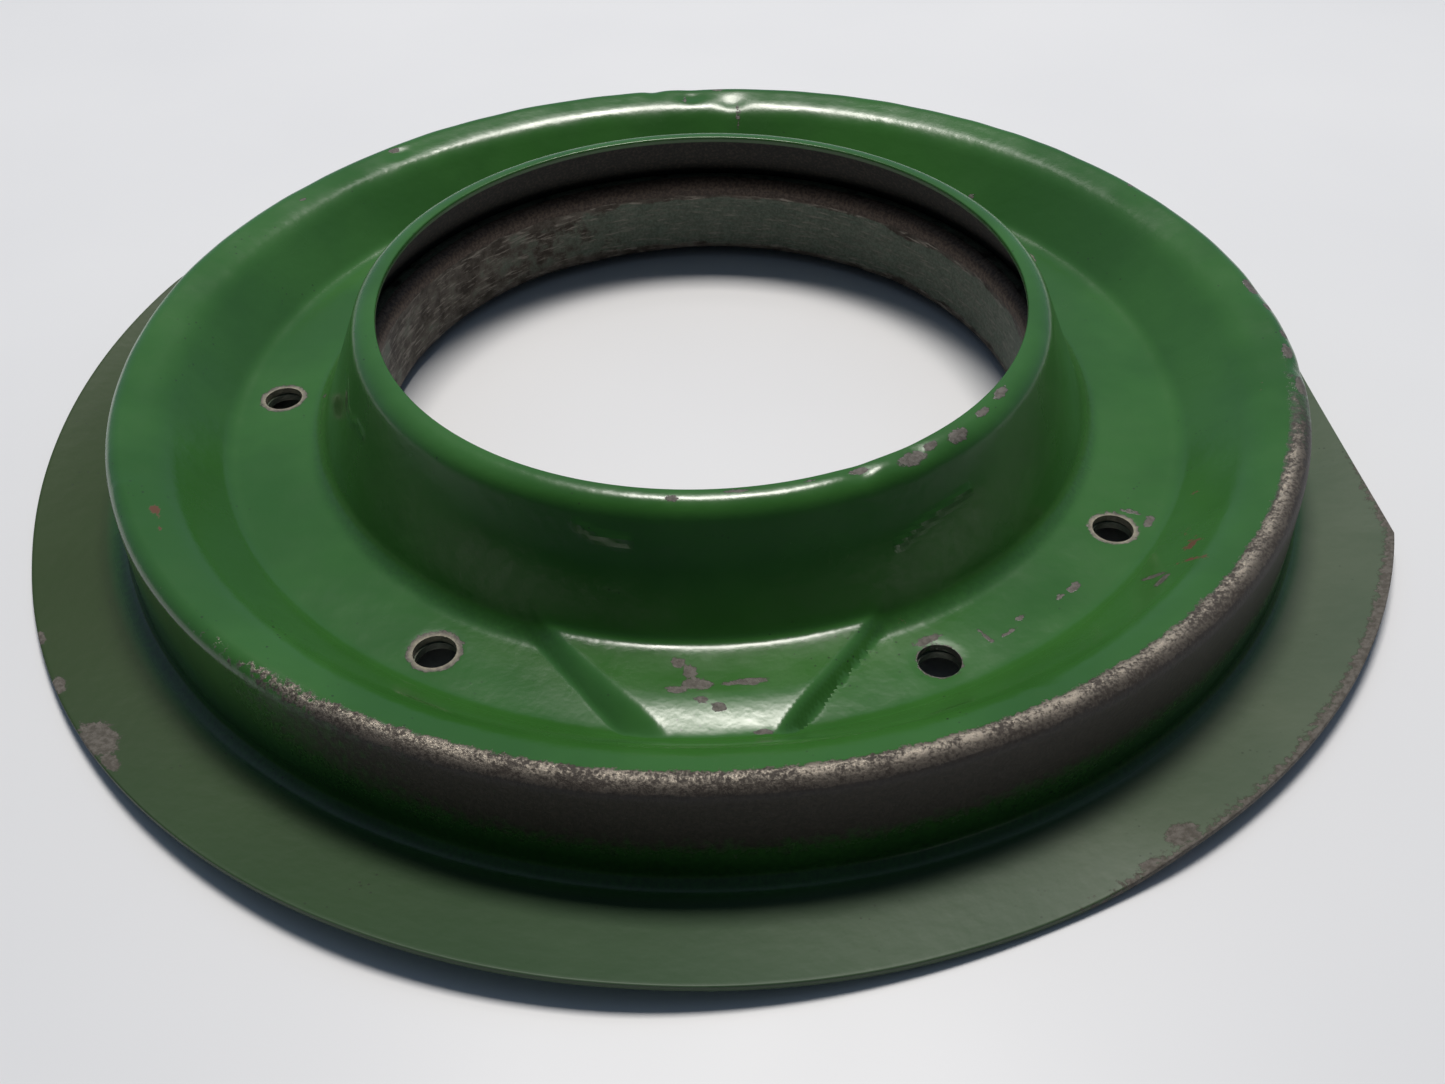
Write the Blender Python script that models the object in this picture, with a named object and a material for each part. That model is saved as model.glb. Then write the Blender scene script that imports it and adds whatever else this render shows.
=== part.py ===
"""Pressed-steel ring shield with a conical collar, made of two stampings.

Lengths are in metres and +Z is up. The collar's axis is the Z axis and the
flange rests on the plane Z = 0. The side of the flange that is cut off
straight faces +X, and the embossed pad faces -Y.
"""
import math

import bmesh
import bpy
from mathutils import Matrix, Vector

MM = 0.001

# Sheet metal
SHEET = 1.6 * MM
STAMPING_GAP = 0.3 * MM

# Outer stamping: corners of its outer face, before they are rounded
LIP_RADIUS = 74.5 * MM
LIP_TOP = 38.5 * MM
COLLAR_TOP_RADIUS = 76.5 * MM
COLLAR_FOOT_RADIUS = 91.6 * MM
BAND_TOP = 11.0 * MM
SLOPE_FOOT_RADIUS = 112.6 * MM
SHELF_RADIUS = 125.4 * MM
SHELF_TOP = 23.8 * MM
CREST_RADIUS = 136.6 * MM
CREST_TOP = 26.9 * MM
WALL_FOOT_RADIUS = 138.4 * MM
FLANGE_RADIUS = 158.0 * MM
FLANGE_CUT_X = 153.7 * MM

# Outer stamping: bend radii of its outer face
LIP_BEND = 3.0 * MM
COLLAR_BEND = 5.0 * MM
SLOPE_BEND = 4.0 * MM
SHELF_BEND = 7.0 * MM
CREST_BEND = 3.4 * MM
FLANGE_BEND = 2.2 * MM

# Inner stamping
SLEEVE_RADIUS = 77.4 * MM
SLEEVE_BOTTOM = 3.2 * MM
SLEEVE_TOP = 24.0 * MM
SLEEVE_ROLL_BEND = 3.0 * MM
SKIRT_BEND = 2.8 * MM
RING_FLANGE_RADIUS = 110.0 * MM

# Bolt holes: the pattern's axis is an angle in degrees from +X towards +Y, and
# the holes are at these angles from it, in pairs and one on its own
BOLT_CIRCLE_RADIUS = 103.0 * MM
BOLT_HOLE_RADIUS = 4.35 * MM
BOLT_HOLE_SIDES = 20
BOLT_PATTERN_AXIS = 1.0
PAIRED_HOLE_ANGLES = (33.0, 65.0, 122.5)
SINGLE_HOLE_ANGLE = 180.0

# Embossed pad: half-widths of its foot at two distances from the axis
PAD_ANGLE = 270.5
PAD_HEIGHT = 3.5 * MM
PAD_WIDE_DISTANCE = 85.0 * MM
PAD_WIDE_HALF = 35.0 * MM
PAD_NARROW_DISTANCE = 111.0 * MM
PAD_NARROW_HALF = 16.2 * MM
PAD_START = 79.0 * MM
PAD_END = 122.0 * MM
PAD_DRAFT = 1.15
PAD_EDGE_BEVEL = 1.4 * MM

# Smoothness
TURN_STEPS = 60
BEND_SEGMENTS = 3
PAD_BEVEL_SEGMENTS = 2
MERGE_DISTANCE = 0.00001

# A cutter runs this far past what it cuts
OVERRUN = 5.0 * MM


def clear_scene():
    for scene_object in list(bpy.data.objects):
        bpy.data.objects.remove(scene_object)


def new_object(name, mesh):
    created = bpy.data.objects.new(name, mesh)
    bpy.context.collection.objects.link(created)
    return created


def mesh_from_bmesh(name, shape):
    mesh = bpy.data.meshes.new(name)
    shape.to_mesh(mesh)
    shape.free()
    return mesh


def rounded_corner(before, corner, after, bend, segments):
    """Points of the arc that rounds a corner between two straight runs."""
    back = (before - corner).normalized()
    ahead = (after - corner).normalized()
    half_angle = back.angle(ahead) / 2.0
    tangent_length = bend / math.tan(half_angle)
    bisector = (back + ahead).normalized()
    centre = corner + bisector * (bend / math.sin(half_angle))
    start = corner + back * tangent_length - centre
    end = corner + ahead * tangent_length - centre
    sweep = start.angle_signed(end)
    points = []
    for step in range(segments + 1):
        turned = start.copy()
        turned.rotate(Matrix.Rotation(-sweep * step / segments, 2))
        points.append(centre + turned)
    return points


def rounded_path(corners):
    """A path of (radius, height, bend) corners with its bends drawn as arcs."""
    places = [Vector((radius, height)) for radius, height, _ in corners]
    path = [places[0]]
    for index in range(1, len(corners) - 1):
        bend = corners[index][2]
        path += rounded_corner(
            places[index - 1], places[index], places[index + 1], bend, BEND_SEGMENTS
        )
    path.append(places[-1])
    return path


def profile_mesh(name, path, closed):
    shape = bmesh.new()
    verts = [shape.verts.new((point.x, 0.0, point.y)) for point in path]
    for first, second in zip(verts, verts[1:]):
        shape.edges.new((first, second))
    if closed:
        shape.edges.new((verts[-1], verts[0]))
    return mesh_from_bmesh(name, shape)


def add_turn(turned):
    """Turn an object's profile all the way round the Z axis."""
    turn = turned.modifiers.new("turn", "SCREW")
    turn.axis = "Z"
    turn.steps = TURN_STEPS
    turn.render_steps = TURN_STEPS
    turn.use_merge_vertices = True
    turn.merge_threshold = MERGE_DISTANCE
    turn.use_smooth_shade = True


def add_sheet_thickness(stamping):
    """Give the turned face the sheet's thickness on the side away from it."""
    thickness = stamping.modifiers.new("sheet", "SOLIDIFY")
    thickness.thickness = SHEET
    thickness.offset = -1.0
    thickness.use_even_offset = True


def add_boolean(target, cutter, operation):
    boolean = target.modifiers.new(cutter.name, "BOOLEAN")
    boolean.operation = operation
    boolean.object = cutter
    boolean.solver = "EXACT"


def hide_helper(helper):
    helper.hide_render = True
    helper.display_type = "WIRE"


def stamping(name, corners):
    """One sheet-metal stamping turned from the corners of its outer face."""
    created = new_object(name, profile_mesh(name, rounded_path(corners), False))
    add_turn(created)
    add_sheet_thickness(created)
    return created


def collar_radius(height, depth):
    """Radius of the collar's straight side, a depth below its outer face."""
    run = COLLAR_FOOT_RADIUS - COLLAR_TOP_RADIUS
    rise = LIP_TOP - BAND_TOP
    across = depth * math.hypot(run, rise) / rise
    return COLLAR_TOP_RADIUS + (LIP_TOP - height) * run / rise - across


def slope_radius(height, depth):
    """Radius of the dished slope, a depth below its outer face."""
    run = SHELF_RADIUS - SLOPE_FOOT_RADIUS
    rise = SHELF_TOP - BAND_TOP
    across = depth * math.hypot(run, rise) / rise
    return SLOPE_FOOT_RADIUS + (height - BAND_TOP) * run / rise + across


def build_shield():
    """The outer stamping, from the turned-over lip to the flange's edge."""
    return stamping("shield", [
        (LIP_RADIUS, LIP_TOP, 0.0),
        (COLLAR_TOP_RADIUS, LIP_TOP, LIP_BEND),
        (COLLAR_FOOT_RADIUS, BAND_TOP, COLLAR_BEND),
        (SLOPE_FOOT_RADIUS, BAND_TOP, SLOPE_BEND),
        (SHELF_RADIUS, SHELF_TOP, SHELF_BEND),
        (CREST_RADIUS, CREST_TOP, CREST_BEND),
        (WALL_FOOT_RADIUS, SHEET, FLANGE_BEND),
        (FLANGE_RADIUS, SHEET, 0.0),
    ])


def build_inner_ring():
    """The inner stamping: sleeve wall, rolled top, skirt and flat flange."""
    depth = SHEET + STAMPING_GAP
    flange_top = BAND_TOP - depth
    return stamping("inner_ring", [
        (SLEEVE_RADIUS, SLEEVE_BOTTOM, 0.0),
        (SLEEVE_RADIUS, SLEEVE_TOP, SLEEVE_ROLL_BEND),
        (collar_radius(SLEEVE_TOP, depth), SLEEVE_TOP, SKIRT_BEND),
        (collar_radius(flange_top, depth), flange_top, COLLAR_BEND + depth),
        (RING_FLANGE_RADIUS, flange_top, 0.0),
    ])


def bolt_hole_cutter():
    """One upright cylinder for each bolt hole, in a single helper mesh."""
    angles = [SINGLE_HOLE_ANGLE]
    for angle in PAIRED_HOLE_ANGLES:
        angles += [angle, -angle]
    shape = bmesh.new()
    for angle in angles:
        turn = Matrix.Rotation(math.radians(BOLT_PATTERN_AXIS + angle), 4, "Z")
        place = turn @ Matrix.Translation((BOLT_CIRCLE_RADIUS, 0.0, BAND_TOP))
        bmesh.ops.create_cone(
            shape, cap_ends=True, segments=BOLT_HOLE_SIDES,
            radius1=BOLT_HOLE_RADIUS, radius2=BOLT_HOLE_RADIUS,
            depth=2.0 * OVERRUN, matrix=place,
        )
    cutter = new_object("bolt_hole_cutter", mesh_from_bmesh("bolt_hole_cutter", shape))
    hide_helper(cutter)
    return cutter


def flange_cutter():
    """A block that takes the flange off along a straight line on its +X side."""
    shape = bmesh.new()
    length = 2.0 * FLANGE_RADIUS
    centre = (FLANGE_CUT_X + OVERRUN, 0.0, SHEET)
    size = Matrix.Diagonal((2.0 * OVERRUN, length, 2.0 * OVERRUN, 1.0))
    bmesh.ops.create_cube(shape, size=1.0, matrix=Matrix.Translation(centre) @ size)
    cutter = new_object("flange_cutter", mesh_from_bmesh("flange_cutter", shape))
    hide_helper(cutter)
    return cutter


def pad_half_width(distance):
    """Half the width of the pad's foot at a distance from the axis."""
    narrowing = (PAD_WIDE_HALF - PAD_NARROW_HALF) / (PAD_NARROW_DISTANCE - PAD_WIDE_DISTANCE)
    return PAD_WIDE_HALF - (distance - PAD_WIDE_DISTANCE) * narrowing


def pad_block(name, lowered):
    """A tapering block with drafted sides, as the punch that raised the pad."""
    bottom = BAND_TOP - SHEET / 2.0 - lowered
    top = BAND_TOP + PAD_HEIGHT - lowered
    shape = bmesh.new()
    rings = []
    for height in (bottom, top):
        inset = (height + lowered - BAND_TOP) * PAD_DRAFT
        start_half = pad_half_width(PAD_START) - inset
        end_half = pad_half_width(PAD_END) - inset
        outline = [
            (PAD_START, -start_half),
            (PAD_END, -end_half),
            (PAD_END, end_half),
            (PAD_START, start_half),
        ]
        rings.append([shape.verts.new((along, across, height)) for along, across in outline])
    lower, upper = rings
    shape.faces.new(list(reversed(lower)))
    shape.faces.new(upper)
    for index in range(len(lower)):
        following = (index + 1) % len(lower)
        shape.faces.new((lower[index], lower[following], upper[following], upper[index]))
    ridges = [shape.edges.get((upper[0], upper[1])), shape.edges.get((upper[2], upper[3]))]
    bmesh.ops.bevel(
        shape, geom=ridges, offset=PAD_EDGE_BEVEL,
        segments=PAD_BEVEL_SEGMENTS, profile=0.5, affect="EDGES",
    )
    block = new_object(name, mesh_from_bmesh(name, shape))
    block.rotation_euler.z = math.radians(PAD_ANGLE)
    hide_helper(block)
    return block


def pad_trough(name, depth):
    """The space between collar and slope, a depth below their outer faces."""
    bottom = BAND_TOP - SHEET - OVERRUN
    top = BAND_TOP + PAD_HEIGHT + SHEET
    path = [
        Vector((collar_radius(bottom, depth), bottom)),
        Vector((collar_radius(top, depth), top)),
        Vector((slope_radius(top, depth), top)),
        Vector((slope_radius(bottom, depth), bottom)),
    ]
    trough = new_object(name, profile_mesh(name, path, True))
    add_turn(trough)
    hide_helper(trough)
    return trough


def raise_pad(shield):
    """Emboss the pad: add its raised face, then hollow the sheet under it."""
    raised = pad_block("pad_raised", 0.0)
    add_boolean(raised, pad_trough("pad_raised_limit", SHEET / 2.0), "INTERSECT")
    hollow = pad_block("pad_hollow", SHEET)
    add_boolean(hollow, pad_trough("pad_hollow_limit", SHEET), "INTERSECT")
    add_boolean(shield, raised, "UNION")
    add_boolean(shield, hollow, "DIFFERENCE")


def steel_material(name, colour, metallic, roughness):
    material = bpy.data.materials.new(name)
    material.use_nodes = True
    shader = material.node_tree.nodes["Principled BSDF"]
    shader.inputs["Base Color"].default_value = (*colour, 1.0)
    shader.inputs["Metallic"].default_value = metallic
    shader.inputs["Roughness"].default_value = roughness
    material.diffuse_color = (*colour, 1.0)
    return material


def main():
    clear_scene()
    shield = build_shield()
    inner_ring = build_inner_ring()
    raise_pad(shield)
    holes = bolt_hole_cutter()
    add_boolean(shield, holes, "DIFFERENCE")
    add_boolean(inner_ring, holes, "DIFFERENCE")
    add_boolean(shield, flange_cutter(), "DIFFERENCE")
    shield.data.materials.append(
        steel_material("green_paint", (0.045, 0.16, 0.045), 0.0, 0.35)
    )
    inner_ring.data.materials.append(
        steel_material("worn_steel", (0.15, 0.14, 0.12), 0.8, 0.55)
    )


main()
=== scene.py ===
"""A worn, green-painted pressed-steel ring shield with a sleeve ring inside its collar.

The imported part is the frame: +Z runs along the collar's axis, the flange rests on Z = 0, its
straight side faces +X and the raised pad faces -Y. Sections are worked out in millimetres and
the meshes are made in metres. Angles are in degrees from +X towards +Y.
"""
import math

import bmesh
import bpy
import numpy as np
from mathutils import Matrix, Vector


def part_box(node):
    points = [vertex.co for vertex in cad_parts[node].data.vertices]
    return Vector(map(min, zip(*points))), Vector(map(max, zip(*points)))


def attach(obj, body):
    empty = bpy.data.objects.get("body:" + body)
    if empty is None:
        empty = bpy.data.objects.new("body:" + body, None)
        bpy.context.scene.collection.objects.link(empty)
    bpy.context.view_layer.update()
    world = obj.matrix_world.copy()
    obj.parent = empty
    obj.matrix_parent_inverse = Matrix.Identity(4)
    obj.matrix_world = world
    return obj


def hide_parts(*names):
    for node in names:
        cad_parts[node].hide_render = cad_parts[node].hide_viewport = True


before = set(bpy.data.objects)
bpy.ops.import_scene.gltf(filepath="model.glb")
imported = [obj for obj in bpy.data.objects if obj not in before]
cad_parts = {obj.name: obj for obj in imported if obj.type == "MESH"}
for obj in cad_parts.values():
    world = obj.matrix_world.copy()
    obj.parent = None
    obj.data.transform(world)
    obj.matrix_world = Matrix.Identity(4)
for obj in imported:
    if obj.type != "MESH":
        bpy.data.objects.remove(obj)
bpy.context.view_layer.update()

MM = 0.001
SHIELD_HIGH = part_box("shield")[1]
RING_LOW, RING_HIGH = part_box("inner_ring")

# Section of the two stampings, in millimetres, from the frame's boxes and the sheet they share
SHEET = 1.6
GAP = 0.3
LIP_TOP = SHIELD_HIGH.z / MM
FLANGE_RADIUS = SHIELD_HIGH.y / MM
SLEEVE_BOTTOM = RING_LOW.z / MM
SLEEVE_TOP = RING_HIGH.z / MM
RING_FLANGE_RADIUS = RING_HIGH.y / MM
LIP_RADIUS = 74.5
COLLAR_TOP_RADIUS = 79.2
COLLAR_FOOT_RADIUS = 91.6
BAND_TOP = 9.6
SLOPE_FOOT_RADIUS = 112.6
SHELF_RADIUS = 125.4
SHELF_TOP = 23.8
CREST_RADIUS = 136.6
CREST_TOP = 26.9
WALL_FOOT_RADIUS = 137.6
SLEEVE_RADIUS = 77.4
EDGE_ROUND = 0.35

# The flange is cut off straight, and used parts are bent a little
FLANGE_ROOT = 141.5
FLANGE_CUT_X = 150.6
FLANGE_LIFTS = (
    (0, 2.6), (22, 2.0), (60, 0.5), (100, 0.4), (130, 1.6), (158, 5.4), (171, 3.8), (184, 2.2),
    (200, 0.5), (212, 1.0), (230, 3.4), (248, 4.6), (266, 4.1), (282, 1.4), (292, 0.3), (297, 0.8),
    (303, 3.0), (318, 3.4), (340, 3.6), (360, 2.6),
)
FLANGE_REACHES = (
    (0, 1.5), (120, -0.3), (200, -0.6), (225, 1.1), (248, 2.6), (266, 2.3), (290, 0.3), (322, 1.5),
    (345, 2.2), (360, 1.5),
)
FLANGE_CURL = 1.25
FLANGE_TRIM = 0.2
CUT_COSINE = 0.5
UNCUT_RADIUS = 1000.0

# How far the shelf, crest and wall sit off the axis towards +X, and the radii it fades over
DISH_OFFSET = 1.2
OFFSET_STARTS = (108.0, 128.0)
OFFSET_ENDS = (156.0, 140.0)

# Bolt holes, and how far and how deep the sheet rolls down into them
HOLE_CIRCLE = 103.0
HOLE_RADIUS = 4.35
HOLE_AXIS = 1.0
HOLE_SHIFT = (0.6, -0.7)
HOLE_ROLL_WIDTH = 0.9
HOLE_ROLL_DEPTH = 0.18
HOLE_SIDES = 72
PUNCH_LENGTH = 12.0
HOLE_ANGLES = [HOLE_AXIS + turn for turn in (-122.5, -65.0, -33.0, 33.0, 65.0, 122.5, 180.0)]

# Raised pad: half-widths of its foot at two distances from the axis, the widths of its sides at
# the same distances, how its top tilts up to one radius and then falls away
PAD_ANGLE = 270.5
PAD_HEIGHT = 3.5
PAD_WIDE = (85.0, 35.0)
PAD_NARROW = (111.0, 16.2)
PAD_LEFT_SIDE = (3.2, 6.2)
PAD_RIGHT_SIDE = (2.6, 2.4)
PAD_TILT = 0.07
PAD_TILT_RADIUS = 104.0
PAD_TILT_LENGTH = 12.0
PAD_FALL = 0.85
PAD_FALL_RADII = (105.0, 116.0)
PAD_LIMITS = (79.0, 126.0)
PAD_START = 50.0
PAD_COLLAR_RADII = (100.0, 90.0)
PAD_TOP_SHARES = (0.6, 1.0)
PAD_FOOT_SHARES = (0.0, 0.12)
PAD_FILLET = 1.0
PAD_INNER_FILLET = 1.2

# Unevenness of used sheet: seed, fewest and most waves round the part, and height
FLANGE_WAVES = (3, 2, 9, 0.22)
CREST_WAVES = (5, 2, 12, 0.16)
CREST_RIPPLES = (6, 20, 70, 0.06)
COLLAR_WAVES = (7, 2, 4, 0.18)
RIM_WAVES = (8, 3, 30, 0.12)
SLEEVE_WAVES = (11, 2, 7, 0.22)
SLEEVE_RIPPLES = (12, 5, 26, 0.10)
SLEEVE_EDGE_WAVES = (13, 2, 10, 0.20)
SPRAY_EDGE_WAVES = (21, 3, 40, 1.0)
SLEEVE_WAIST = 0.35

# Where that unevenness is: (from, to) or (middle, width) of radii or heights
CREST_BAND = (134.0, 4.0)
COLLAR_BAND = (100.0, 80.0)
SLEEVE_WALL_BAND = (84.0, 79.0)
SLEEVE_WAIST_BAND = (12.0, 6.0)
SLEEVE_RIPPLES_FULL = 10.0

# How finely the meshes are made
TURN_STEPS = 760
SPACING = 0.85
UNDER_SPACING = 2.0
ARC_STEP = 9.0
EDGE_STEP = 30.0
SHARP_ANGLE = 38.0


# ---------------------------------------------------------------- sections


def arc_points(before, corner, after, bend, step):
    """Points of the arc that rounds a corner, one about every step degrees."""
    back = (before - corner).normalized()
    ahead = (after - corner).normalized()
    half_angle = back.angle(ahead) / 2.0
    bisector = (back + ahead).normalized()
    centre = corner + bisector * (bend / math.sin(half_angle))
    start = corner + back * (bend / math.tan(half_angle)) - centre
    end = corner + ahead * (bend / math.tan(half_angle)) - centre
    sweep = start.angle_signed(end)
    count = max(2, math.ceil(abs(math.degrees(sweep)) / step))
    points = []
    for index in range(count + 1):
        turned = start.copy()
        turned.rotate(Matrix.Rotation(-sweep * index / count, 2))
        points.append(centre + turned)
    return points


def section_path(corners, spacing):
    """A path of (radius, height, bend) corners, with arcs at the bends and evenly split runs."""
    places = [Vector((radius, height)) for radius, height, _ in corners]
    rounded = [places[0]]
    for index in range(1, len(corners) - 1):
        bend = corners[index][2]
        rounded += arc_points(places[index - 1], places[index], places[index + 1], bend, ARC_STEP)
    rounded.append(places[-1])
    path = [rounded[0]]
    for first, second in zip(rounded, rounded[1:]):
        pieces = max(1, round((second - first).length / spacing))
        for index in range(pieces):
            path.append(first.lerp(second, (index + 1) / pieces))
    return path


def path_normals(path):
    """Unit normals on the outer side of a path."""
    normals = []
    for index in range(len(path)):
        ahead = path[min(index + 1, len(path) - 1)]
        behind = path[max(index - 1, 0)]
        run = (ahead - behind).normalized()
        normals.append(Vector((-run.y, run.x)))
    return normals


def sheet_end(end, outward, normal):
    """The rounded cut edge of the sheet, from its outer face to its under face."""
    points = []
    corners = ((EDGE_ROUND, normal, outward), (SHEET - EDGE_ROUND, outward, -normal))
    for corner_depth, first, second in corners:
        centre = end - outward * EDGE_ROUND - normal * corner_depth
        for index in range(4):
            turn = math.radians(EDGE_STEP * index)
            points.append(centre + (first * math.cos(turn) + second * math.sin(turn)) * EDGE_ROUND)
    return points


def sheet_section(corners):
    """The closed section of a stamping, and how deep each point is below the outer face."""
    outer = section_path(corners, SPACING)
    coarse = section_path(corners, UNDER_SPACING)
    under = [point - normal * SHEET for point, normal in zip(coarse, path_normals(coarse))]
    first_run = (outer[0] - outer[1]).normalized()
    last_run = (outer[-1] - outer[-2]).normalized()
    far_end = sheet_end(outer[-1], last_run, path_normals(outer)[-1])
    near_end = sheet_end(outer[0], first_run, path_normals(outer)[0])
    points = outer[1:-1] + far_end + list(reversed(under[1:-1])) + list(reversed(near_end))
    half = len(far_end) // 2
    depths = (
        [0.0] * (len(outer) - 2) + [0.0] * half + [SHEET] * half
        + [SHEET] * (len(under) - 2) + [SHEET] * half + [0.0] * half
    )
    return np.array([tuple(point) for point in points]), np.array(depths)


def collar_radius(height, depth):
    """Radius of the collar's straight side, a depth below its outer face."""
    run = COLLAR_FOOT_RADIUS - COLLAR_TOP_RADIUS
    rise = LIP_TOP - BAND_TOP
    across = depth * math.hypot(run, rise) / rise
    return COLLAR_TOP_RADIUS + (LIP_TOP - height) * run / rise - across


def shield_corners():
    """The shield's outer face, as corners of (radius, height, bend)."""
    return [
        (LIP_RADIUS, LIP_TOP, 0.0),
        (COLLAR_TOP_RADIUS, LIP_TOP, 5.2),
        (COLLAR_FOOT_RADIUS, BAND_TOP, 5.0),
        (SLOPE_FOOT_RADIUS, BAND_TOP, 5.0),
        (SHELF_RADIUS, SHELF_TOP, 12.0),
        (CREST_RADIUS, CREST_TOP, 3.4),
        (WALL_FOOT_RADIUS, SHEET, 3.0),
        (FLANGE_RADIUS, SHEET, 0.0),
    ]


def inner_ring_corners():
    """The same for the ring, which follows the shield's under face at a small gap."""
    depth = SHEET + GAP
    flange_top = BAND_TOP - depth
    return [
        (SLEEVE_RADIUS, SLEEVE_BOTTOM, 0.0),
        (SLEEVE_RADIUS, SLEEVE_TOP, 3.0),
        (collar_radius(SLEEVE_TOP, depth), SLEEVE_TOP, 2.8),
        (collar_radius(flange_top, depth), flange_top, 5.0 + depth),
        (RING_FLANGE_RADIUS, flange_top, 0.0),
    ]


# ---------------------------------------------------------------- shaping


def bell(value, middle, width):
    """1 at the middle, falling to nothing over a few widths."""
    return np.exp(-(((value - middle) / width) ** 2))


def smooth_step(low, high, value):
    """0 at low and 1 at high, with a smooth change between; low may be the greater."""
    share = np.clip((value - low) / (high - low), 0.0, 1.0)
    return share * share * (3.0 - 2.0 * share)


def angle_gap(angle, other):
    """Signed gap between angles in degrees, from -180 to 180."""
    return (angle - other + 180.0) % 360.0 - 180.0


def round_table(angle, table, softness):
    """A value read from (angle, value) pairs that go once round, softened by degrees."""
    fine = np.arange(0.0, 360.0, 0.5)
    values = np.interp(fine, [a for a, _ in table], [v for _, v in table], period=360.0)
    reach = np.arange(-4.0 * softness, 4.0 * softness + 0.25, 0.5)
    weights = np.exp(-0.5 * (reach / softness) ** 2)
    padded = np.concatenate([values, values, values])
    softened = np.convolve(padded, weights / weights.sum(), mode="same")
    middle = softened[len(values):2 * len(values)]
    return np.interp(angle, fine, middle, period=360.0)


def ripple(angle, seed, lowest, highest, amount):
    """A gentle unevenness round the part: a few waves of random phase."""
    draws = np.random.default_rng(seed)
    total = np.zeros_like(angle)
    for wave in range(lowest, highest + 1):
        phase = draws.uniform(0.0, 2.0 * math.pi)
        size = draws.uniform(0.4, 1.0)
        total += size * np.cos(np.radians(angle) * wave + phase)
    return total * amount / math.sqrt(highest - lowest + 1)


def turn_angles(corners):
    """Even angles round the turn, with the nearest ones moved onto the flange's corners."""
    angles = np.arange(TURN_STEPS) * 360.0 / TURN_STEPS
    for corner in corners:
        nearest = np.abs(angle_gap(angles, corner)).argmin()
        angles[nearest] = corner % 360.0
    return np.sort(angles)


def flange_reach(angle):
    """Radius of the flange's edge: round, with one side cut off straight."""
    rounded = FLANGE_RADIUS - FLANGE_TRIM + round_table(angle, FLANGE_REACHES, 6.0)
    cosine = np.cos(np.radians(angle))
    cut_radius = FLANGE_CUT_X / np.maximum(cosine, CUT_COSINE)
    straight = np.where(cosine > CUT_COSINE, cut_radius, UNCUT_RADIUS)
    return np.minimum(rounded, straight)


def flange_corners():
    """Angles at which the straight cut meets the round edge, one on each side."""
    fine = np.arange(-40.0, 40.0, 0.02)
    cut = FLANGE_CUT_X / np.cos(np.radians(fine)) < flange_reach(fine) + 1e-6
    return [fine[cut].min(), fine[cut].max()]


def smooth_maximum(first, second, fillet):
    """The greater of two heights, with a fillet where they cross."""
    gap = first - second
    return (first + second + np.sqrt(gap * gap + fillet * fillet)) / 2.0


def pad_rise(radius, angle):
    """How far the raised pad is up at a place, from 0 outside it to 1 on its top."""
    turn = np.radians(angle_gap(angle, PAD_ANGLE))
    along = radius * np.cos(turn)
    across = radius * np.sin(turn)
    narrowing = (PAD_WIDE[1] - PAD_NARROW[1]) / (PAD_NARROW[0] - PAD_WIDE[0])
    half = PAD_WIDE[1] - (along - PAD_WIDE[0]) * narrowing
    slant = math.cos(math.atan(narrowing))
    inside = (half - np.abs(across)) * slant
    outward = np.clip((along - PAD_WIDE[0]) / (PAD_NARROW[0] - PAD_WIDE[0]), 0.0, 1.0)
    left = PAD_LEFT_SIDE[0] + (PAD_LEFT_SIDE[1] - PAD_LEFT_SIDE[0]) * outward
    right = PAD_RIGHT_SIDE[0] + (PAD_RIGHT_SIDE[1] - PAD_RIGHT_SIDE[0]) * outward
    rise = np.clip(inside / np.where(across < 0.0, left, right), 0.0, 1.0)
    return np.where(along > PAD_START, np.sin(rise * math.pi / 2.0), 0.0)


def raise_pad(radius, angle, height, depth):
    """Heights with the pad raised, filleted into the collar, the band and the slope."""
    rise = pad_rise(radius, angle)
    tilt = PAD_TILT * np.clip(radius - PAD_TILT_RADIUS, -PAD_TILT_LENGTH, 0.0)
    fall = PAD_FALL * smooth_step(*PAD_FALL_RADII, radius)
    top = BAND_TOP + (PAD_HEIGHT + tilt - fall) * rise - depth
    near_collar = smooth_step(*PAD_COLLAR_RADII, radius) * smooth_step(*PAD_TOP_SHARES, rise)
    fillet = PAD_FILLET + PAD_INNER_FILLET * near_collar
    lifted = smooth_maximum(height, top, fillet)
    share = smooth_step(*PAD_FOOT_SHARES, rise)
    on_dish = (radius > PAD_LIMITS[0]) & (radius < PAD_LIMITS[1])
    return np.where(on_dish, height + (lifted - height) * share, height)


def hole_place(angle):
    """The x and y of a bolt hole."""
    turn = math.radians(angle)
    return HOLE_CIRCLE * math.cos(turn) + HOLE_SHIFT[0], HOLE_CIRCLE * math.sin(turn) + HOLE_SHIFT[1]


def hole_dip(x, y):
    """The sheet rolls down a little into each punched hole."""
    dip = np.zeros_like(x)
    for angle in HOLE_ANGLES:
        hole_x, hole_y = hole_place(angle)
        away = np.hypot(x - hole_x, y - hole_y)
        past_edge = np.maximum(away - HOLE_RADIUS, 0.0)
        dip += HOLE_ROLL_DEPTH * bell(past_edge, 0.0, HOLE_ROLL_WIDTH)
    return dip


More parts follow.
